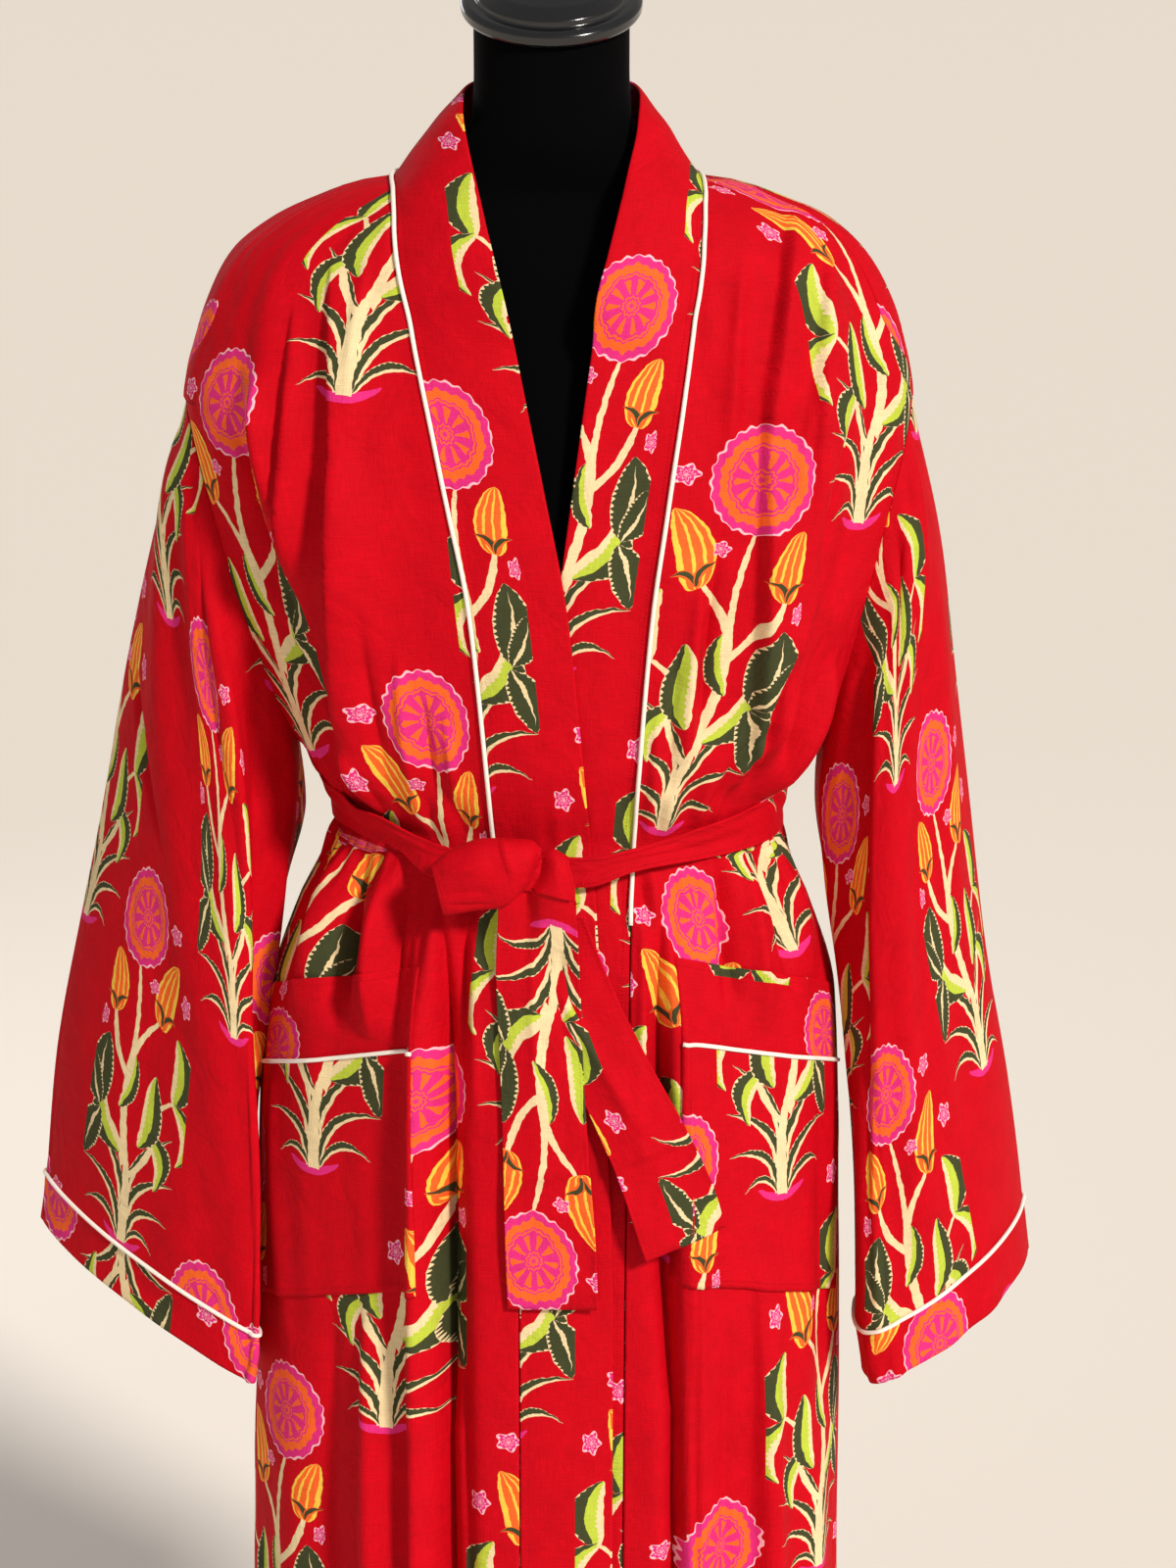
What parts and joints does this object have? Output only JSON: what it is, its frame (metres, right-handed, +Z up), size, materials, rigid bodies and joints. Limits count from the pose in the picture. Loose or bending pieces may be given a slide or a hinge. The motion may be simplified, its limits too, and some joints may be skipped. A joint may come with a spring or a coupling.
{
  "type": "cotton kimono robe on a dress form",
  "caption": "Calf-length wrap robe with a crossed neckband, wide sleeves, patch pockets and a tied belt, standing open below on a limbless dress form with a pole and a round base.",
  "frame": {"origin": "centre of the flat underside of the form's round base", "axes": "+Z up along the pole; the robe's front faces -Y; -X is the wearer's right"},
  "size_m": [0.7263, 0.38, 1.5909],
  "materials": {
    "cotton": "printed red cotton, soft and matte with a slight sheen",
    "piping": "white cotton-covered cord",
    "velvet": "black velvet",
    "gloss_cap": "dark, glossy",
    "stand": "dark satin"
  },
  "bodies": {
    "root": {"back": "cotton", "band_left": "cotton", "band_right": "cotton", "belt_end_front": "cotton", "belt_end_under": "cotton", "belt_knot": "cotton", "belt_round": "cotton", "cuff_left": "cotton", "cuff_piping_left": "piping", "cuff_piping_right": "piping", "cuff_right": "cotton", "form_base": "stand", "form_neck_cap": "gloss_cap", "form_pole": "stand", "form_torso": "velvet", "front_left": "cotton", "front_right": "cotton", "neck_piping": "piping", "pocket_band_left": "cotton", "pocket_band_right": "cotton", "pocket_left": "cotton", "pocket_piping_left": "piping", "pocket_piping_right": "piping", "pocket_right": "cotton", "sleeve_left": "cotton", "sleeve_right": "cotton"}
  },
  "joints": []
}
